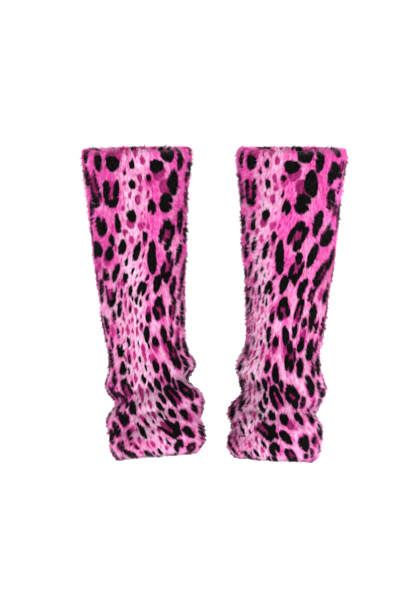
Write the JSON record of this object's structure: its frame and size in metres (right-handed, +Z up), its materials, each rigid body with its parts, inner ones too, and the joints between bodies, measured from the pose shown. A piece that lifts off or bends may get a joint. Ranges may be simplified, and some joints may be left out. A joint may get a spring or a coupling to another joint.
{
  "type": "pair of leg warmers",
  "caption": "Pair of hollow faux-fur leg warmers in a pink leopard print, shaped as worn on the calves and bunched above the ankles.",
  "frame": {"origin": "midway between the two legs, level with the middle of the top casings, where the elastic holds on the calves", "axes": "+Z up along the legs, +X to the viewer's right across the pair, +Y away from the viewer, so the shins face -Y"},
  "size_m": [0.309, 0.1383, 0.3775],
  "materials": {
    "pile_fabric": "short dense pile, pink leopard print",
    "casing_fabric": "short dense pile, turned in over an elastic"
  },
  "bodies": {
    "root": {"left_panel": "pile_fabric", "left_top_casing": "casing_fabric", "left_bottom_casing": "casing_fabric", "right_panel": "pile_fabric", "right_top_casing": "casing_fabric", "right_bottom_casing": "casing_fabric"}
  },
  "joints": []
}
